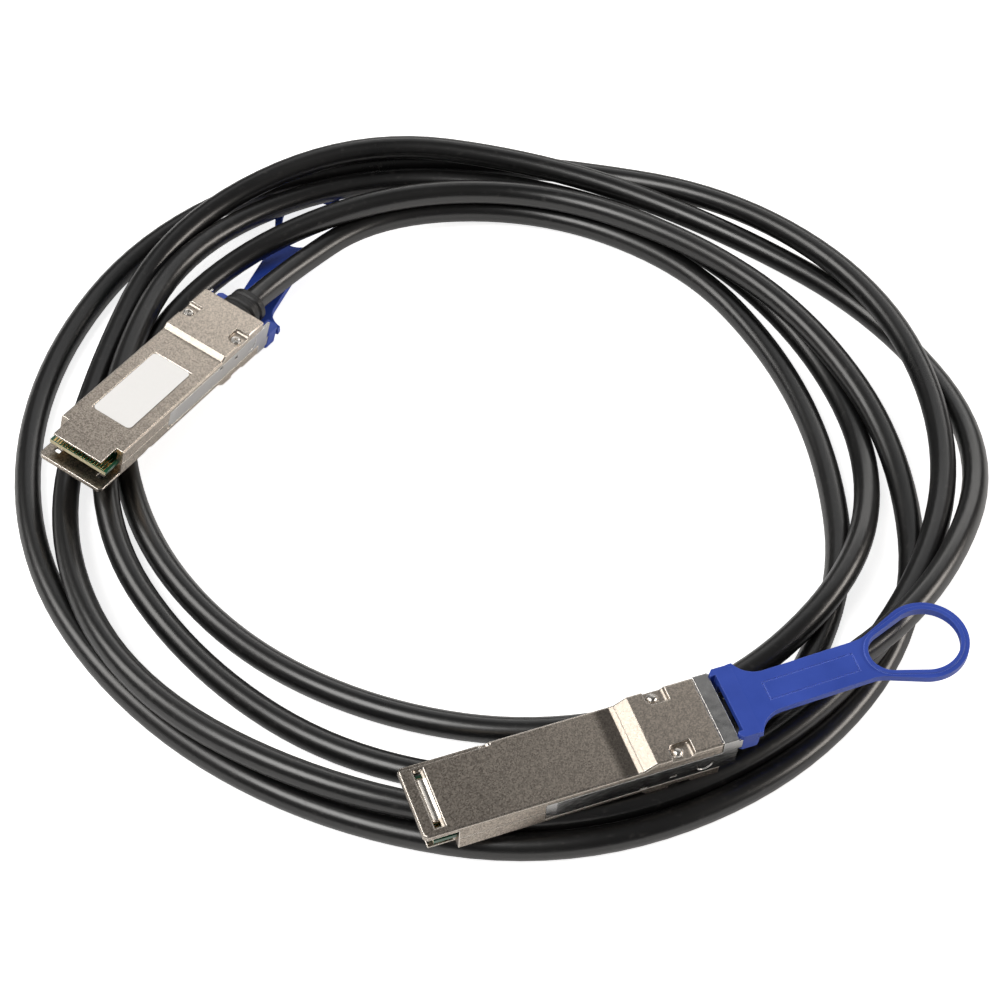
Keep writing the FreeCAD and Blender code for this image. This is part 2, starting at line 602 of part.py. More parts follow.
def pull_tab(p, bend):
    """Yoke on the slider's ears, a flat strap and a drop-shaped finger loop with a raised rim."""
    low, high = "tab_low", "tab_low + tab_thickness"
    rear = "tab_start + yoke_length"
    yoke = [box(p + "yoke_bar", ("tab_start", rear), ("-yoke_half_width", "yoke_half_width"), (low, high))]
    slots = []
    for tag, side in SIDES:
        yoke += [
            box(p + tag + "_leg", ("tab_start", rear), across(side, "yoke_leg_inside", "yoke_half_width"),
                ("-yoke_leg_depth", high)),
            box(p + tag + "_tooth", (f"{bridge_end} + tooth_gap", rear),
                across(side, "tooth_inside", "yoke_half_width"), ("-yoke_leg_depth", high)),
        ]
        slots.append(box(p + tag + "_slot", (f"{bridge_end} - 1", "ear_end"),
                         across(side, f"{half_width} - arm_thickness", half_width),
                         ("-ear_depth", "plate_rise - arm_thickness")))
    corner = size("yoke_half_width") - TOUCH
    tooth = size("yoke_half_width") - size("tooth_inside")
    holder = break_edges(p + "yoke", fuse(p + "plain_yoke", yoke), min(size("yoke_round"), tooth / 2),
                         lambda e: all(abs(v.Y) > corner for v in e.Vertexes)
                         and len({(round(v.X / TOUCH), round(v.Y / TOUCH)) for v in e.Vertexes}) == 1)
    strap = [box(p + "strap_bar", (f"{rear} - 1", "loop_front"), ("-strap_half_width", "strap_half_width"),
                 (low, high))]
    hollows = []
    outer = "(loop_front_radius + loop_front_band)"
    flare_u = f"loop_front - sqrt(({outer} + strap_flare) ^ 2 - (strap_half_width + strap_flare) ^ 2)"
    touch_u = f"loop_front - (loop_front - ({flare_u})) * {outer} / ({outer} + strap_flare)"
    touch_v = f"(strap_half_width + strap_flare) * {outer} / ({outer} + strap_flare)"
    for tag, side in SIDES:
        strap += [
            box(p + tag + "_gusset", (f"{rear} - 1", f"{rear} + gusset_radius"),
                across(side, "0", "strap_half_width + gusset_reach"), (low, high)),
            box(p + tag + "_flare", (flare_u, touch_u), across(side, "0", touch_v), (low, high)),
        ]
        for place, along, radius in (("hollow", f"{rear} + gusset_radius", "gusset_radius"),
                                     ("flare_hollow", flare_u, "strap_flare")):
            middle = (along, f"{side} * (strap_half_width + {radius})", "tab_low - 1")
            hollows.append(cylinder(f"{p}{tag}_{place}", middle, radius, "tab_thickness + 2"))
    strap += drop(p + "loop", "loop_band", "loop_front_band", low, high)
    blank = cut(p + "strap_blank", fuse(p + "plain_strap", strap), hollows)
    rim = drop(p + "rim", "loop_rim_width", "loop_rim_width", low, f"{high} + loop_rim")
    hole = drop(p + "hole", "0", "0", "tab_low - 1", f"{high} + loop_rim + 1")
    frame_outer = box(p + "frame_outer", ("frame_start", "frame_start + frame_length"),
                      ("-frame_half_width", "frame_half_width"), (f"{high} - frame_line", f"{high} + 1"))
    frame_inner = box(p + "frame_inner",
                      ("frame_start + frame_line", "frame_start + frame_length - frame_line"),
                      ("-frame_half_width + frame_line", "frame_half_width - frame_line"),
                      (f"{high} - frame_line - 1", f"{high} + 2"))
    band = cut(p + "strap_and_loop", fuse(p + "rimmed_strap", [blank] + rim),
               hole + [cut(p + "frame_line", frame_outer, [frame_inner])])
    band.Placement = bend
    return cut(p + "pull_tab", fuse(p + "joined_tab", [holder, band]), slots)


def label(p):
    plain = box(p + "label_film", ("label_start", "label_start + label_length"),
                ("-label_width / 2", "label_width / 2"),
                (f"{label_face} + label_recess - label_thickness", f"{label_face} + label_recess"))
    thin = size("label_thickness") / 2
    return break_edges(p + "label", plain, size("label_round"),
                       lambda e: abs(e.Vertexes[0].Z - e.Vertexes[1].Z) > thin, "Fillet")


def bent(pitch, yaw, roll, hinge):
    """Turn the strap about its root, where it leaves the yoke."""
    turn = FreeCAD.Rotation(yaw, pitch, roll)
    return FreeCAD.Placement(hinge - turn.multVec(hinge), turn)


PLUGS = {
    "plug_a": (FreeCAD.Placement(FreeCAD.Vector(-15.9, -103.5, 19.8), FreeCAD.Rotation(20.5, 1.0, 4.5)),
               (-4.5, -1.0, 0.0)),
    "plug_b": (FreeCAD.Placement(FreeCAD.Vector(-100.6, -6.1, 16.3), FreeCAD.Rotation(61.0, 8.5, 191.0)),
               (6.0, -10.0, -10.0)),
}
BUILDERS = (base_shell, cover_shell, paddle_card, contact_fingers, memory_chip, wire_clamp, twinax_pairs,
            crimp_ferrule, strain_relief, shell_screws, latch_slider, latch_springs, label)

# The cable's coil: control points at thirteen stations a turn, counted from +X the way the
# cable runs from plug A. Each point is (radius from the coil's middle, height of the centre line).
COIL_CENTRE = (3.5, 10.6)
STATIONS = 13
FIRST_STATION = -1
LAY = [
    (115.0, 17.6),
    # first turn
    (122.0, 7.9), (115.5, 3.3), (105.5, 4.6), (105.5, 11.0), (115.0, 17.8), (119.5, 10.4), (108.0, 5.0),
    (111.5, 5.8), (114.5, 10.7), (111.5, 10.2), (111.5, 5.2), (109.5, 4.8), (110.0, 12.1),
    # second turn
    (112.5, 9.7), (113.5, 10.8), (113.0, 8.6), (111.0, 4.8), (115.5, 11.1), (127.0, 5.0), (123.5, 3.4),
    (119.5, 3.3), (115.0, 3.3), (114.5, 3.3), (119.0, 3.3), (116.5, 3.3), (111.5, 3.3),
    # third turn
    (99.5, 7.2), (90.5, 11.4), (90.5, 9.8), (95.0, 10.4), (93.5, 15.0), (102.0, 7.1), (102.0, 3.5),
    (92.0, 3.3), (86.0, 3.3), (83.5, 3.3), (86.0, 3.5), (91.0, 5.2), (94.5, 11.4),
    # fourth turn
    (93.0, 3.5), (91.5, 3.3), (95.0, 5.2), (101.5, 5.6), (110.5, 8.2), (113.0, 9.2), (101.0, 11.6),
    (100.5, 5.9), (96.5, 3.7), (98.5, 3.3), (100.5, 3.3), (105.0, 3.3), (92.5, 3.3),
    # the last part turn, to plug B
    (82.0, 3.3), (81.0, 3.3), (88.5, 3.3), (95.5, 3.3), (95.0, 7.2),
]


def cable_points(places):
    """Straight out of plug A, round the coil, and straight into plug B."""
    ends = []
    exit_face = FreeCAD.Vector(size("boot_end"), 0, -size("body_height") / 2)
    straight = FreeCAD.Vector(size("exit_run"), 0, 0)
    for place in places:
        ends.append((place.multVec(exit_face), place.multVec(exit_face + straight)))
    points = [ends[0][0], ends[0][1]]
    for i, (radius, height) in enumerate(LAY):
        turn = 2 * math.pi * (FIRST_STATION + i) / STATIONS
        points.append(FreeCAD.Vector(COIL_CENTRE[0] + radius * math.cos(turn),
                                     COIL_CENTRE[1] + radius * math.sin(turn), height))
    return points + [ends[1][1], ends[1][0]]


ARC_SHARE = 0.45


def tube(points, radius):
    """A round solid along straight runs joined by arcs that use up most of the shorter run."""
    ring = Part.makeCircle(radius, points[0], points[1] - points[0])
    faces = [Part.Face(Part.Wire(ring))]
    start = points[0]
    length = 0.0
    radii = []
    for before, corner, after in zip(points, points[1:], points[2:]):
        inward = (before - corner).normalize()
        outward = (after - corner).normalize()
        reach = ARC_SHARE * min((before - corner).Length, (after - corner).Length)
        half_turn = (math.pi - inward.getAngle(outward)) / 2
        bend = reach / math.tan(half_turn)
        centre = corner + (inward + outward).normalize() * bend / math.cos(half_turn)
        enter = corner + inward * reach
        axis = (-inward).cross(outward)
        faces.append(ring.extrude(enter - start))
        ring = ring.translated(enter - start)
        faces.append(ring.revolve(centre, axis, math.degrees(2 * half_turn)))
        ring = ring.rotated(centre, axis, math.degrees(2 * half_turn))
        length += (enter - start).Length + bend * 2 * half_turn
        radii.append(bend)
        start = corner + outward * reach
    faces.append(ring.extrude(points[-1] - start))
    length += (points[-1] - start).Length
    faces.append(Part.Face(Part.Wire(ring.translated(points[-1] - start))))
    shell = Part.makeShell(faces)
    shell.sewShape()
    return Part.makeSolid(shell), length, radii


def cable_jacket(places):
    points = cable_points(places)
    item = doc.addObject("Part::Feature", "cable_jacket")
    item.Shape, length, radii = tube(points, size("cable_radius"))
    swept = math.pi * size("cable_radius") ** 2 * length
    print("cable length", round(length), "smallest radius", round(min(radii)),
          "volume over section times length", round(item.Shape.Volume / swept, 4))
    return item


nodes = []
hinge = FreeCAD.Vector(size("tab_start") + size("yoke_length"), 0,
                       size("tab_low") + size("tab_thickness") / 2)
for tag, (place, (pitch, yaw, roll)) in PLUGS.items():
    p = tag + "_"
    pieces = [build(p) for build in BUILDERS] + [pull_tab(p, bent(pitch, yaw, roll, hinge))]
    doc.recompute()
    for piece in pieces:
        piece.Placement = place.multiply(piece.Placement)
        piece.Label = piece.Name
        nodes.append(piece)
nodes.append(cable_jacket([place for place, _ in PLUGS.values()]))
doc.recompute()

for item in doc.Objects:
    if "Invalid" in item.State or "Error" in item.State:
        raise RuntimeError(f"{item.Name} failed: {item.State}")
os.makedirs("parts", exist_ok=True)
for node in nodes:
    if node.Shape.isNull() or not node.Shape.isValid():
        raise RuntimeError(f"{node.Label} has no valid shape")
    node.Shape.exportStep(f"parts/{node.Label}.step")
    print(node.Label, len(node.Shape.Solids), "solids", round(node.Shape.Volume, 1), node.Shape.BoundBox)
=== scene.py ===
import json
import math
import bmesh
import bpy
from mathutils import Euler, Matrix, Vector

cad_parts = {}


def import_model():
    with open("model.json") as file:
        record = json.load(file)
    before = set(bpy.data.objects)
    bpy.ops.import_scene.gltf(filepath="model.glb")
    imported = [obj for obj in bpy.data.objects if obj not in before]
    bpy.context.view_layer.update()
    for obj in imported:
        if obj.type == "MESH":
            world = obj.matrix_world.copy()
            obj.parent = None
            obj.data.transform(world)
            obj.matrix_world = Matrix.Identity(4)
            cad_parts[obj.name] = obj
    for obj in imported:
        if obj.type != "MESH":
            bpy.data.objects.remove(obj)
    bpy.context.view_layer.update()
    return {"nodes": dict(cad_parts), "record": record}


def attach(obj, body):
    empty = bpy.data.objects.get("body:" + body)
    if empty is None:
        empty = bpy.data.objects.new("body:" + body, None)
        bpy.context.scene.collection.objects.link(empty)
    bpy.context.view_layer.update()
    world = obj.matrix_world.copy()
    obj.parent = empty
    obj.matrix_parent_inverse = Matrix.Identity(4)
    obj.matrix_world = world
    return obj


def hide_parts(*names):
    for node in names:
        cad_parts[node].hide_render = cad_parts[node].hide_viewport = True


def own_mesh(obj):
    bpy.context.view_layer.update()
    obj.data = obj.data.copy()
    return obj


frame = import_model()
SLOTS = {row["node"]: row["material_slot"] for row in frame["record"]["subparts"]}
# the object's sizes are written in millimetres; the scene is in metres
MM = 0.001

# ---------------------------------------------------------------- where the plugs lie

# In a plug's own frame u runs back from its nose, v across it, and w up out of its plate face, so the
# plate face lies at w = 0 and the label face at about w = -8.5.
# Each plug: where its nose lies, and how it is turned (yaw, pitch, roll in degrees).
PLUG_PLACES = {
    "plug_a": ((-15.9, -103.5, 19.8), (20.5, 1.0, 4.5)),
    "plug_b": ((-100.6, -6.1, 16.3), (61.0, 8.5, 191.0)),
}


def turn_of(plug):
    yaw, pitch, roll = PLUG_PLACES[plug][1]
    return Euler((math.radians(roll), math.radians(pitch), math.radians(yaw)), "XYZ").to_matrix()


def in_plug(plug, point):
    """A point of a plug's own frame, in metres in the scene."""
    return (Vector(PLUG_PLACES[plug][0]) + turn_of(plug) @ Vector(point)) * MM


def nose_of(plug):
    """The direction in which a plug's nose points."""
    return tuple(turn_of(plug) @ Vector((-1.0, 0.0, 0.0)))


# ---------------------------------------------------------------- materials

# the band in which most of a noise texture's values lie
NOISE_LOW = 0.3
NOISE_HIGH = 0.7


class Nodes:
    """A node material with a Principled shader, and short calls that add to it.

    A texture's scale is per metre, so 1000 gives a pattern about a millimetre wide."""

    def __init__(self, name, colour, rough, metal=0.0):
        self.material = bpy.data.materials.new(name)
        self.material.use_nodes = True
        self.material.diffuse_color = (*colour, 1.0)
        self.tree = self.material.node_tree
        self.shader = self.tree.nodes["Principled BSDF"]
        self.shader.inputs["Base Color"].default_value = (*colour, 1.0)
        self.shader.inputs["Roughness"].default_value = rough
        self.shader.inputs["Metallic"].default_value = metal
        self.place = self.add("ShaderNodeTexCoord").outputs["Object"]
        self.rounded = None

    def add(self, kind, **settings):
        """A node, with its properties and its sockets' values set by name."""
        node = self.tree.nodes.new(kind)
        for key, value in settings.items():
            if hasattr(node, key):
                setattr(node, key, value)
            else:
                node.inputs[key.replace("_", " ")].default_value = value
        return node

    def link(self, source, target):
        self.tree.links.new(source, target)

    def drive(self, name, socket):
        self.link(socket, self.shader.inputs[name])

    def stretched(self, scale):
        mapping = self.add("ShaderNodeMapping", Scale=scale)
        self.link(self.place, mapping.inputs["Vector"])
        return mapping.outputs["Vector"]

    def noise(self, scale, detail=2.0, place=None):
        node = self.add("ShaderNodeTexNoise", Scale=scale, Detail=detail)
        self.link(place or self.place, node.inputs["Vector"])
        return node.outputs["Fac"]

    def cells(self, scale, output="Distance"):
        node = self.add("ShaderNodeTexVoronoi", Scale=scale)
        self.link(self.place, node.inputs["Vector"])
        return node.outputs[output]

    def fit(self, value, low, high, new_low=0.0, new_high=1.0):
        """The range from low to high taken to a new range, and held at its ends beyond."""
        node = self.add("ShaderNodeMapRange", From_Min=low, From_Max=high,
                        To_Min=new_low, To_Max=new_high)
        self.link(value, node.inputs["Value"])
        return node.outputs["Result"]

    def spread(self, noise, new_low=0.0, new_high=1.0):
        """A noise spread over a range of its own."""
        return self.fit(noise, NOISE_LOW, NOISE_HIGH, new_low, new_high)

    def mix(self, share, first, second):
        """Colour between two: each is a colour triple or a socket."""
        node = self.add("ShaderNodeMix", data_type="RGBA")
        self.link(share, node.inputs["Factor"])
        for socket, colour in ((node.inputs[6], first), (node.inputs[7], second)):
            if isinstance(colour, tuple):
                socket.default_value = (*colour, 1.0)
            else:
                self.link(colour, socket)
        return node.outputs[2]

    def combine(self, first, second, operation="MULTIPLY"):
        """One value from two: each is a number or a socket."""
        node = self.add("ShaderNodeMath", operation=operation)
        for socket, value in zip(node.inputs, (first, second)):
            if isinstance(value, (int, float)):
                socket.default_value = value
            else:
                self.link(value, socket)
        return node.outputs[0]

    def facing(self, direction, low, high, normal=None):
        """1 where the surface looks along a direction, 0 where it looks away."""
        angle = self.add("ShaderNodeVectorMath", operation="DOT_PRODUCT")
        self.link(normal or self.add("ShaderNodeNewGeometry").outputs["Normal"], angle.inputs[0])
        if isinstance(direction, tuple):
            angle.inputs[1].default_value = direction
        else:
            self.link(direction, angle.inputs[1])
        return self.fit(angle.outputs["Value"], low, high)

    def along(self, plug, axis):
        """How far a point lies along one of a plug's own axes, in millimetres from its nose."""
        direction = turn_of(plug).col[axis]
        nose = direction.dot(Vector(PLUG_PLACES[plug][0]))
        measure = self.add("ShaderNodeVectorMath", operation="DOT_PRODUCT")
        self.link(self.place, measure.inputs[0])
        measure.inputs[1].default_value = tuple(direction / MM)
        return self.combine(measure.outputs["Value"], nose, "SUBTRACT")

    def between(self, value, low, high, soft):
        """1 from low to high and 0 beyond, with soft ends."""
        rise = self.fit(value, low - soft, low + soft)
        return self.combine(rise, self.fit(value, high - soft, high + soft, 1.0, 0.0))

    def openness(self, distance):
        """1 in open places, falling to 0 in inner corners and narrow gaps."""
        node = self.add("ShaderNodeAmbientOcclusion", samples=4, only_local=True, Distance=distance)
        return self.fit(node.outputs["AO"], 0.35, 0.9)

    def edges(self, radius):
        """Round the normals over the sharp edges; 1 on those edges, 0 on flat faces."""
        self.rounded = self.add("ShaderNodeBevel", samples=6, Radius=radius).outputs["Normal"]
        flat = self.add("ShaderNodeNewGeometry").outputs["Normal"]
        return self.facing(flat, 0.99, 0.93, self.rounded)

    def bump(self, height, distance, strength=1.0, normal=None):
        """A bumped normal, over the given one or over the rounded edges where there are any."""
        node = self.add("ShaderNodeBump", Distance=distance, Strength=strength)
        self.link(height, node.inputs["Height"])
        if normal or self.rounded:
            self.link(normal or self.rounded, node.inputs["Normal"])
        return node.outputs["Normal"]


# places along the castings: how far back from the nose
DIP_START = 45.5
CURVE_START = 49.2
RAMP_FOOT = 50.4
# where the painted light towards the rear is brightest
PALEST_AT = 66.0
# how steeply the shaded curve rises into the ramp
RAMP_SLOPE = 0.63
# Shallow floors in the plate face, which get a painted highlight. Each range is (from, to, softness):
# along (u) and across (v) the plug for each of the two, and in depth (w) for both.
NOSE_RECESS = ((3.15, 5.3, 0.12), (-5.1, 5.1, 0.1))
KEY_RUN_OUT = ((18.4, 21.6, 0.1), (8.1, 9.3, 0.05))
SHALLOW = (-0.75, -0.06, 0.03)

DARK_PLATE = (0.185, 0.162, 0.139)
PALE_PLATE = (0.72, 0.633, 0.545)
# the ramp's even paint, standing in for the bright reflection that washes out its grain
RAMP_PLATE = (0.40, 0.355, 0.305)
# painted shade in the dip before the ramp
DIP_SHADE = (0.06, 0.052, 0.045)
# painted shade in the castings' inner corners
CORNER_SHADE = (0.08, 0.068, 0.058)
# painted highlight on the castings' edges and shallow floors
HIGHLIGHT_PLATE = (0.98, 0.92, 0.84)


def highlit_floors(m, u, v, w):
    """1 on the floors of the nose's recess and of the key groove's run-out, where a highlight is
    painted.
    """
    recess, run_out = (m.combine(m.between(u, *lengthwise), m.between(v, *crosswise))
                       for lengthwise, crosswise in (NOSE_RECESS, KEY_RUN_OUT))
    return m.combine(m.between(w, *SHALLOW), m.combine(recess, run_out, "MAXIMUM"))


def plated_casting(plug):
    """Nickel plate over a grained die casting: the grain sparkles; a painted highlight pales its edges
    and shallow floors, painted shade darkens its inner corners and its dip before the ramp, its ramp is
    painted one even colour for the reflection that washes out its grain, and painted light pales it
    towards the rear.
    """
    m = Nodes("plated_casting_" + plug[-1], (0.42, 0.37, 0.32), rough=0.36, metal=1.0)
    open_place = m.openness(0.5 * MM)
    u, v, w = (m.along(plug, axis) for axis in range(3))
    highlit_edges = m.combine(m.edges(0.36 * MM), open_place)
    # painted highlight: the edges and shallow floors are painted pale and smoother
    painted_highlight = m.combine(highlit_edges, highlit_floors(m, u, v, w), "MAXIMUM")
    grain = m.noise(3000.0, detail=3.0)

    # flecked plate, with painted light paling it towards the rear
    flakes = m.fit(m.cells(3300.0, "Color"), 0.2, 0.8)
    clouds = m.noise(120.0, detail=4.0)
    flecks = m.combine(m.combine(flakes, 0.85), m.combine(clouds, 0.15), "ADD")
    rear_light = m.fit(u, 0.0, PALEST_AT, 0.04, 0.42)
    plate = m.mix(m.combine(m.combine(flecks, 0.6), rear_light, "ADD"), DARK_PLATE, PALE_PLATE)

    # painted shade darkens the flat plate face where the real one dips before its ramp; the ramp and a
    # curve before it are painted one even colour, standing in for the bright reflection that washes out
    # their grain
    plate_face = m.fit(w, -0.4, -0.1)
    past_dip_start = m.fit(u, DIP_START - 0.8, DIP_START + 1.0)
    before_curve = m.fit(u, CURVE_START - 0.3, CURVE_START + 0.3, 1.0, 0.0)
    dip_shade = m.combine(m.combine(past_dip_start, before_curve), plate_face)
    curve = m.combine(m.between(u, CURVE_START, RAMP_FOOT, 0.1), plate_face)
    ramp = m.between(m.facing(nose_of(plug), 0.0, 1.0), 0.35, 0.85, 0.04)
    ramp = m.combine(ramp, curve, "MAXIMUM")
    # the ramp and the curve are painted one even colour, standing in for the bright reflection that
    # washes out their grain
    plate = m.mix(m.combine(ramp, 0.85), plate, RAMP_PLATE)
    # painted shade in the dip
    plate = m.mix(m.combine(dip_shade, 0.74), plate, DIP_SHADE)

    # painted shade darkens the inner corners and narrow gaps
    plate = m.mix(m.fit(open_place, 0.0, 1.0, 0.35, 0.0), plate, CORNER_SHADE)
    m.drive("Base Color", m.mix(painted_highlight, plate, HIGHLIGHT_PLATE))
    m.drive("Roughness", m.combine(m.spread(grain, 0.27, 0.43), m.fit(painted_highlight, 0.0, 1.0, 1.0, 0.5)))

    curve_rise = m.combine(m.fit(u, CURVE_START, RAMP_FOOT), plate_face)
    fillet = m.bump(curve_rise, RAMP_SLOPE * (RAMP_FOOT - CURVE_START) * MM)
    grain = m.combine(grain, m.fit(ramp, 0.0, 1.0, 1.0, 0.15))
    m.drive("Normal", m.bump(grain, 0.045 * MM, strength=0.55, normal=fillet))
    return m.material


def polished_slider():
    """Stamped stainless strip: smooth, faintly drawn along its length, with a painted highlight on its
    edges.
    """
    m = Nodes("polished_slider", (0.56, 0.555, 0.55), rough=0.2, metal=1.0)
    painted_highlight = m.combine(m.edges(0.28 * MM), m.openness(0.5 * MM))
    streak = m.noise(420.0, place=m.stretched((1.0, 1.0, 7.0)))
    steel = m.mix(streak, (0.48, 0.478, 0.475), (0.62, 0.612, 0.60))
    # painted highlight: the edges are painted pale
    m.drive("Base Color", m.mix(painted_highlight, steel, (1.0, 0.98, 0.94)))
    m.drive("Roughness", m.spread(streak, 0.14, 0.27))
    m.drive("Normal", m.bump(streak, 0.01 * MM, strength=0.4))
    return m.material


def cable_jacket():
    """Satin black vinyl, faintly waved by the pairs beneath, with dust and rub marks."""
    m = Nodes("cable_jacket", (0.006, 0.006, 0.006), rough=0.32)
    m.shader.inputs["Specular IOR Level"].default_value = 0.9
    pores = m.noise(2300.0)
    rubs = m.noise(38.0, detail=4.0)
    dust = m.fit(m.noise(620.0, detail=5.0), 0.60, 0.76)
    black = m.mix(m.fit(rubs, 0.35, 0.7), (0.003, 0.003, 0.0032), (0.0065, 0.0063, 0.0062))
    m.drive("Base Color", m.mix(m.combine(dust, 0.2), black, (0.085, 0.08, 0.075)))
    m.drive("Roughness", m.combine(m.spread(rubs, 0.27, 0.33), m.combine(dust, 0.08), "ADD"))
    waves = m.bump(m.noise(150.0, detail=1.0), 0.10 * MM, strength=0.2)
    m.drive("Normal", m.bump(pores, 0.006 * MM, strength=0.4, normal=waves))
    return m.material


def moulded_boot():
    """Dull black moulded rubber, with a painted highlight greying its ribs' edges."""
    m = Nodes("moulded_boot", (0.018, 0.018, 0.019), rough=0.5)
    painted_highlight = m.combine(m.edges(0.35 * MM), m.openness(0.9 * MM))
    # painted highlight: the ribs' edges are painted grey
    m.drive("Base Color", m.mix(m.combine(painted_highlight, 0.8), (0.014, 0.014, 0.015), (0.05, 0.048, 0.047)))
    m.drive("Roughness", m.spread(m.noise(160.0, detail=3.0), 0.40, 0.56))
    m.drive("Normal", m.bump(m.noise(2600.0), 0.02 * MM, strength=0.5))
    return m.material


def blue_tab():
    """Satin moulded polymer with faint flow marks; a painted highlight pales its edges, and painted
    light pales its engraved lines and inner corners against their shade.
    """
    m = Nodes("blue_tab", (0.034, 0.082, 0.46), rough=0.42)
    painted_highlight = m.combine(m.edges(0.25 * MM), m.openness(0.8 * MM))
    # painted light: the occluded engraved lines and inner corners are painted paler against their shade
    groove_light = m.fit(m.openness(0.35 * MM), 0.0, 0.8, 1.0, 0.0)
    flow = m.noise(75.0, detail=4.0)
    dents = m.fit(m.cells(260.0), 0.0, 0.16)
    blue = m.mix(m.spread(flow), (0.024, 0.062, 0.37), (0.034, 0.084, 0.48))
    # painted highlight: the edges are painted paler
    blue = m.mix(m.combine(painted_highlight, 0.55), blue, (0.11, 0.18, 0.68))
    m.drive("Base Color", m.mix(groove_light, blue, (0.24, 0.36, 0.98)))
    m.drive("Roughness", m.spread(flow, 0.35, 0.50))
    pores = m.bump(m.noise(1900.0, detail=3.0), 0.02 * MM, strength=0.6)
    m.drive("Normal", m.bump(dents, 0.03 * MM, strength=0.25, normal=pores))
    return m.material


def circuit_board():
    """Green solder mask; the cut edges show the cream glass laminate."""
    m = Nodes("circuit_board", (0.012, 0.10, 0.05), rough=0.28)
    m.shader.inputs["Coat Weight"].default_value = 0.5
    weave = m.noise(1700.0, detail=3.0)
    green = m.mix(weave, (0.008, 0.08, 0.04), (0.02, 0.13, 0.065))
    laminate = m.mix(weave, (0.50, 0.43, 0.24), (0.72, 0.65, 0.42))
    cut_edges = m.combine(*(m.facing(nose_of(plug), 0.8, 0.9) for plug in PLUG_PLACES), "ADD")
    m.drive("Base Color", m.mix(cut_edges, green, laminate))
    m.drive("Normal", m.bump(weave, 0.01 * MM, strength=0.4))
    return m.material


def shades(colour, spread):
    """A darker and a paler shade of a colour."""
    return (tuple((1 - spread) * channel for channel in colour),
            tuple(min(1.0, (1 + spread) * channel) for channel in colour))


def plain_metal(name, colour, rough, grain_scale):
    m = Nodes(name, colour, rough, metal=1.0)
    grain = m.noise(grain_scale, detail=3.0)
    m.edges(0.08 * MM)
    m.drive("Base Color", m.mix(grain, *shades(colour, 0.12)))
    m.drive("Roughness", m.spread(grain, rough * 0.75, rough * 1.3))
    m.drive("Normal", m.bump(grain, 0.01 * MM, strength=0.4))
    return m.material


def moulded_resin(name, colour, rough):
    m = Nodes(name, colour, rough)
    grain = m.noise(1800.0, detail=3.0)
    m.drive("Base Color", m.mix(grain, *shades(colour, 0.15)))
    m.drive("Roughness", m.spread(grain, rough * 0.85, rough * 1.15))
    m.drive("Normal", m.bump(grain, 0.01 * MM, strength=0.4))
    return m.material


def label_film():
    """White matt film, a little creamier along its cut edges."""
    m = Nodes("label_film", (0.90, 0.90, 0.89), rough=0.42)
    fibre = m.noise(900.0, detail=4.0)
    cut_edges = m.combine(m.edges(0.1 * MM), 0.6)
    film = m.mix(fibre, (0.93, 0.93, 0.925), (0.97, 0.97, 0.965))
    m.drive("Base Color", m.mix(cut_edges, film, (0.72, 0.70, 0.66)))
    m.drive("Roughness", m.spread(fibre, 0.36, 0.5))
    m.drive("Normal", m.bump(fibre, 0.012 * MM, strength=0.4))
    return m.material


CASTINGS = {plug: plated_casting(plug) for plug in PLUG_PLACES}
MATERIALS = {
    "polished_slider": polished_slider(),
    "cable_jacket": cable_jacket(),
    "moulded_boot": moulded_boot(),
    "blue_tab": blue_tab(),
    "circuit_board": circuit_board(),
    "gold_contacts": plain_metal("gold_contacts", (0.86, 0.62, 0.27), 0.22, 1500.0),
    "brass_ferrule": plain_metal("brass_ferrule", (0.70, 0.56, 0.30), 0.34, 1200.0),
    "screw_steel": plain_metal("screw_steel", (0.66, 0.63, 0.59), 0.24, 1600.0),
    "spring_steel": plain_metal("spring_steel", (0.55, 0.55, 0.56), 0.28, 1600.0),
    "foil_pairs": plain_metal("foil_pairs", (0.72, 0.72, 0.74), 0.36, 700.0),
    "chip_body": moulded_resin("chip_body", (0.03, 0.03, 0.032), 0.45),
    "clamp_resin": moulded_resin("clamp_resin", (0.05, 0.05, 0.055), 0.5),
    "label_film": label_film(),
}


def dress(piece, slot, plug=None):
    """Give a piece its slot's material; a casting's marks follow its own plug."""
    piece.data.materials.clear()
    piece.data.materials.append(CASTINGS[plug] if slot == "plated_casting" else MATERIALS[slot])


for node, slot in SLOTS.items():
    dress(frame["nodes"][node], slot, plug=node[:len("plug_a")])

# ---------------------------------------------------------------- making pieces


def placed(name, data, slot, plug=None):
    """A new piece on the body that everything but the latches rides on."""
    piece = bpy.data.objects.new(name, data)
    bpy.context.scene.collection.objects.link(piece)
    dress(piece, slot, plug)
    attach(piece, "cable_set")
    return piece


def stacks(name, plug, solids):
    """Closed solids in a plug's frame, each a stack of rings of corners from one end to the other."""
    work = bmesh.new()
    for rings in solids:
        loops = [[work.verts.new(in_plug(plug, corner)) for corner in ring] for ring in rings]
        for low, high in zip(loops, loops[1:]):
            for i in range(len(low)):
                j = (i + 1) % len(low)
                work.faces.new((low[i], low[j], high[j], high[i]))
        work.faces.new(loops[0][::-1])
        work.faces.new(loops[-1])
    bmesh.ops.recalc_face_normals(work, faces=work.faces)
    mesh = bpy.data.meshes.new(name)
    work.to_mesh(mesh)
    work.free()
    return mesh


def carved(mesh, tool):
    """The mesh with the tool's volume taken away."""
    body, knife = (bpy.data.objects.new(part.name, part) for part in (mesh, tool))
    for thing in (body, knife):
        bpy.context.scene.collection.objects.link(thing)
    cut = body.modifiers.new("cut", "BOOLEAN")
    cut.operation = "DIFFERENCE"
    cut.solver = "EXACT"
    cut.object = knife
    result = bpy.data.meshes.new_from_object(body.evaluated_get(bpy.context.evaluated_depsgraph_get()))
    for thing in (body, knife):
        bpy.data.objects.remove(thing)
    return result


# ---------------------------------------------------------------- the roof over the card edge

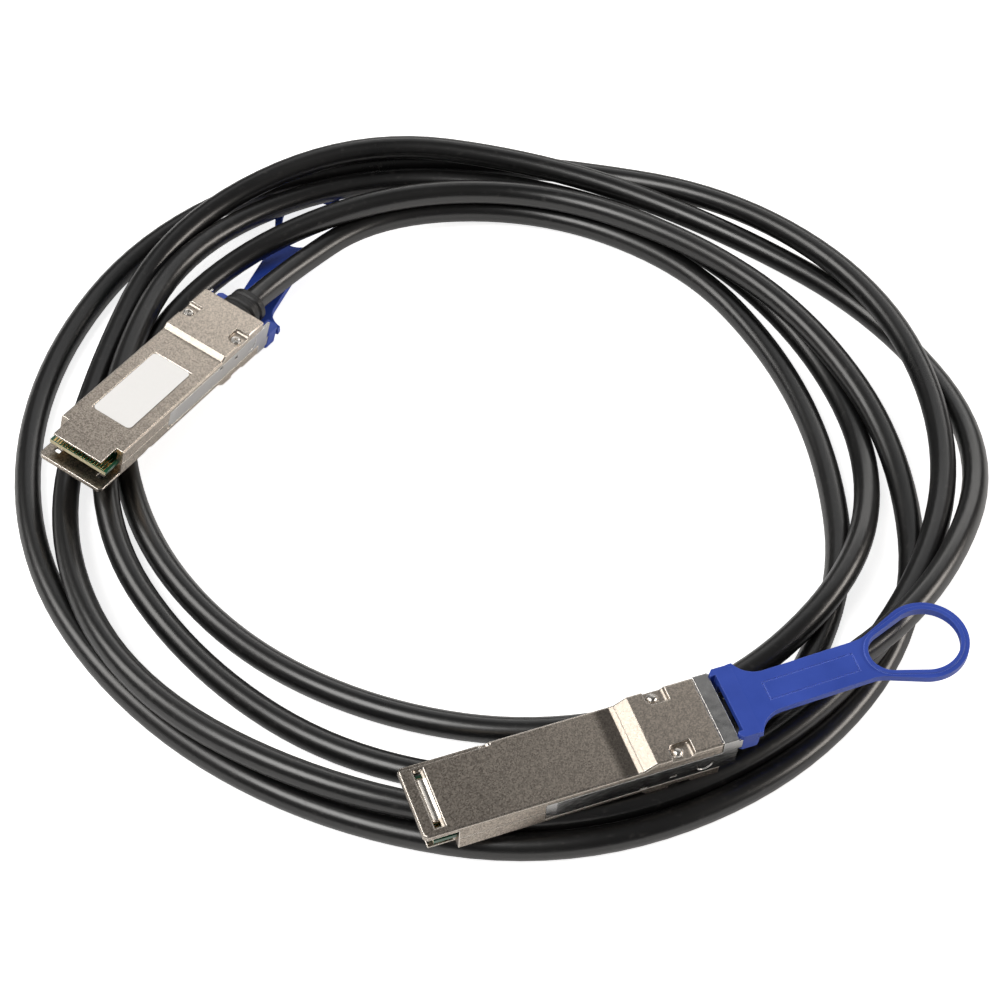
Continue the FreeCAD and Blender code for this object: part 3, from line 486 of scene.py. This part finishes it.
ROOF_FRONT = 1.0
ROOF_REAR = 7.6
ROOF_HALF_WIDTH = 8.6
ROOF_UNDERSIDE = -8.05
IN_THE_CAVITY = -7.0


def thin_roof(plug):
    """The cover, with its roof thinned from the inside at the front edge, over the contacts."""
    outline = ((ROOF_FRONT, -ROOF_HALF_WIDTH), (ROOF_REAR, -ROOF_HALF_WIDTH),
               (ROOF_REAR, ROOF_HALF_WIDTH), (ROOF_FRONT, ROOF_HALF_WIDTH))
    block = [[(u, v, depth) for u, v in outline] for depth in (ROOF_UNDERSIDE, IN_THE_CAVITY)]
    return carved(frame["nodes"][f"{plug}_cover_shell"].data.copy(), stacks("knife", plug, [block]))


for plug in PLUG_PLACES:
    cover = placed(f"{plug}_cover", thin_roof(plug), "plated_casting", plug)
    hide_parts(f"{plug}_cover_shell")

# ---------------------------------------------------------------- screws and pins

SCREW_U = 58.9
SCREW_V = 7.3
RING_SIDES = 40
# (radius, w) along the axis: from the plate side's pocket floor to the top of the head on the label
# side, and from the same pocket floor to the top of the domed pin in it
SCREW = ((0.80, 0.80), (0.80, -8.70), (1.45, -8.70), (1.45, -9.15), (1.34, -9.36), (1.08, -9.52),
         (0.60, -9.60), (0.15, -9.60))
PIN = ((1.45, 0.82), (1.45, 0.92), (1.25, 0.96), (1.18, 1.10), (1.05, 1.32), (0.80, 1.52), (0.48, 1.66),
       (0.16, 1.72))
CROSS_REACH = 0.85
CROSS_HALF_WIDTH = 0.2
# each screw's side of the plug, and how far its cross is turned, in radians
CROSS_TURNS = ((1, 0.35), (-1, 1.1))
# (w, size) at the recess's floor and just outside the head
CROSS_LEVELS = ((-9.05, 0.45), (-9.8, 1.0))


def turned(name, plug, profile):
    """A pair turned about the axes of a plug's two screws."""
    angles = [2 * math.pi * i / RING_SIDES for i in range(RING_SIDES)]
    pair = [[[(SCREW_U + radius * math.cos(angle), side * SCREW_V + radius * math.sin(angle), height)
              for angle in angles] for radius, height in profile] for side in (1, -1)]
    return stacks(name, plug, pair)


def cross_recess(plug):
    """Two tapered crosses that leave the recesses in the screws' heads."""
    reach, half = CROSS_REACH, CROSS_HALF_WIDTH
    cross = ((reach, -half), (reach, half), (half, half), (half, reach), (-half, reach), (-half, half),
             (-reach, half), (-reach, -half), (-half, -half), (-half, -reach), (half, -reach),
             (half, -half))
    pair = [[[(SCREW_U + size * (x * math.cos(turn) - y * math.sin(turn)),
               side * SCREW_V + size * (x * math.sin(turn) + y * math.cos(turn)), height)
              for x, y in cross] for height, size in CROSS_LEVELS] for side, turn in CROSS_TURNS]
    return stacks("recess", plug, pair)


for plug in PLUG_PLACES:
    placed(f"{plug}_pins", turned(f"{plug}_pins", plug, PIN), "screw_steel")
    heads = carved(turned(f"{plug}_screws", plug, SCREW), cross_recess(plug))
    screws = placed(f"{plug}_cross_screws", heads, "screw_steel")
    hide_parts(f"{plug}_shell_screws")

# ---------------------------------------------------------------- the latch springs

# a copy of each plug's spring mesh, as a piece of its own on the cable set's body
for plug in PLUG_PLACES:
    node = f"{plug}_latch_springs"
    springs = placed(f"{plug}_springs", frame["nodes"][node].data.copy(), SLOTS[node])
    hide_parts(node)
    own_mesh(springs)

# ---------------------------------------------------------------- the cable

CABLE_RADIUS = 3.2
COIL_CENTRE = (3.5, 10.6)
STATIONS_PER_TURN = 13
FIRST_STATION = -1
BOOT_END = 77.8
EXIT_RUN = 15.0
AXIS_DEPTH = 4.25
# (radius from the coil's centre, height) at each station on the way from plug A to plug B; six of them
# lie up to 1.8 mm further in or out than the CAD's, so that the runs touch where the photo's do
LAY = [
    (115.0, 17.6),
    # first turn
    (122.0, 7.9), (113.7, 3.3), (104.6, 4.6), (105.5, 11.0), (115.0, 17.8), (119.5, 10.4), (108.0, 5.0),
    (111.5, 5.8), (114.5, 10.7), (111.5, 10.2), (112.0, 5.2), (110.0, 4.8), (110.0, 12.1),
    # second turn
    (112.5, 9.7), (113.5, 10.8), (113.0, 8.6), (111.0, 4.8), (115.5, 11.1), (127.0, 5.0), (123.5, 3.4),
    (119.5, 3.3), (115.0, 3.3), (114.5, 3.3), (118.5, 3.3), (116.3, 3.3), (111.5, 3.3),
    # third turn
    (99.5, 7.2), (90.5, 11.4), (90.5, 9.8), (95.0, 10.4), (93.5, 15.0), (102.0, 7.1), (102.0, 3.5),
    (92.0, 3.3), (86.0, 3.3), (83.5, 3.3), (86.0, 3.5), (91.0, 5.2), (94.5, 11.4),
    # fourth turn
    (93.0, 3.5), (91.5, 3.3), (95.0, 5.2), (101.5, 5.6), (110.5, 8.2), (113.0, 9.2), (101.0, 11.6),
    (100.5, 5.9), (96.5, 3.7), (98.5, 3.3), (100.5, 3.3), (105.0, 3.3), (92.5, 3.3),
    # the last part turn, to plug B
    (82.0, 3.3), (81.0, 3.3), (88.5, 3.3), (95.5, 3.3), (95.0, 7.2),
]


def cable_route():
    """Straight out of plug A, round the coil, and straight into plug B."""
    out_of_a, out_of_b = ([in_plug(plug, (u, 0.0, -AXIS_DEPTH)) for u in (BOOT_END, BOOT_END + EXIT_RUN)]
                          for plug in PLUG_PLACES)
    coil = []
    for i, (radius, height) in enumerate(LAY):
        angle = 2 * math.pi * (FIRST_STATION + i) / STATIONS_PER_TURN
        coil.append(Vector((COIL_CENTRE[0] + radius * math.cos(angle),
                            COIL_CENTRE[1] + radius * math.sin(angle), height)) * MM)
    return out_of_a + coil + out_of_b[::-1]


def cable():
    """One open spline with one unbroken skin, from boot to boot."""
    route = cable_route()
    curve = bpy.data.curves.new("cable", "CURVE")
    curve.dimensions = "3D"
    spline = curve.splines.new("NURBS")
    spline.points.add(len(route) - 1)
    for point, place in zip(spline.points, route):
        point.co = (*place, 1.0)
    spline.order_u = 3
    spline.use_endpoint_u = True
    curve.resolution_u = 10
    curve.bevel_depth = CABLE_RADIUS * MM
    curve.bevel_resolution = 7
    curve.use_fill_caps = True
    piece = placed("cable", curve, "cable_jacket")
    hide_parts("cable_jacket")


cable()

# ---------------------------------------------------------------- stage, light and camera

FLOOR_REACH = 4.0
# how brightly the floor shows as white, and how much of that the metal mirrors
FLOOR_GLOW = 0.8
MIRRORED_SHARE = 0.14
WORLD_LIGHT = 0.1
WHITE = (1.0, 1.0, 1.0)
# name, place and size in metres, power in watts, tint: each looks at the middle of the coil
SOFT_LIGHTS = (
    ("fill", (0.20, 0.90, 0.95), 1.5, 0.7, 1.65, WHITE),
    ("strip", (0.35, 1.10, 0.60), 1.2, 0.25, 2.1, (1.0, 0.98, 0.95)),
    ("key", (-0.48, -0.42, 0.98), 0.62, 0.55, 6.6, (1.0, 0.985, 0.965)),
    ("left", (-0.90, 0.18, 0.80), 0.5, 0.6, 4.2, (1.0, 0.98, 0.95)),
    ("right", (1.12, -0.05, 0.46), 0.9, 0.35, 7.0, (1.0, 0.93, 0.86)),
)
CAMERA_PLACE = (3.3 * MM, -394.7 * MM, 444.9 * MM)
# how far down it looks, in degrees
CAMERA_DOWN = 48.38
CAMERA_LENS = 86.4


def floor():
    """A plain white floor that keeps the object's shadow."""
    mesh = bpy.data.meshes.new("floor")
    corners = [(x * FLOOR_REACH, y * FLOOR_REACH, 0.0) for x, y in ((-1, -1), (1, -1), (1, 1), (-1, 1))]
    mesh.from_pydata(corners, [], [(0, 1, 2, 3)])
    piece = bpy.data.objects.new("floor", mesh)
    bpy.context.scene.collection.objects.link(piece)
    m = Nodes("floor", (0.93, 0.93, 0.93), rough=0.9)
    m.shader.inputs["Specular IOR Level"].default_value = 0.1
    m.drive("Base Color", m.mix(m.noise(3.0), (0.925, 0.925, 0.925), (0.935, 0.935, 0.935)))
    path = m.add("ShaderNodeLightPath")
    mirrored = m.combine(path.outputs["Is Glossy Ray"], MIRRORED_SHARE)
    seen = m.combine(mirrored, path.outputs["Is Camera Ray"], "ADD")
    m.shader.inputs["Emission Color"].default_value = (*WHITE, 1.0)
    m.drive("Emission Strength", m.combine(seen, FLOOR_GLOW))
    mesh.materials.append(m.material)


def world():
    """White to the camera, and a tenth of that as light on the object."""
    studio = bpy.data.worlds.new("studio")
    bpy.context.scene.world = studio
    studio.use_nodes = True
    tree = studio.node_tree
    background = tree.nodes["Background"]
    background.inputs["Color"].default_value = (*WHITE, 1.0)
    path = tree.nodes.new("ShaderNodeLightPath")
    strength = tree.nodes.new("ShaderNodeMapRange")
    strength.inputs["To Min"].default_value = WORLD_LIGHT
    tree.links.new(path.outputs["Is Camera Ray"], strength.inputs["Value"])
    tree.links.new(strength.outputs["Result"], background.inputs["Strength"])


def soft_light(name, place, width, height, power, tint):
    light = bpy.data.lights.new(name, "AREA")
    light.shape = "RECTANGLE"
    light.size, light.size_y = width, height
    light.energy = power
    light.color = tint
    lamp = bpy.data.objects.new(name, light)
    bpy.context.scene.collection.objects.link(lamp)
    lamp.location = place
    lamp.rotation_euler = (-Vector(place)).to_track_quat("-Z", "Y").to_euler()


def camera():
    """A long lens looking down at the coil."""
    data = bpy.data.cameras.new("camera")
    data.lens = CAMERA_LENS
    data.sensor_width = 36.0
    data.clip_start, data.clip_end = 0.01, 20.0
    piece = bpy.data.objects.new("camera", data)
    bpy.context.scene.collection.objects.link(piece)
    piece.location = CAMERA_PLACE
    piece.rotation_euler = (math.radians(90.0 - CAMERA_DOWN), 0.0, 0.0)
    bpy.context.scene.camera = piece


floor()
world()
for light in SOFT_LIGHTS:
    soft_light(*light)
camera()
bpy.context.scene.view_settings.view_transform = "Standard"
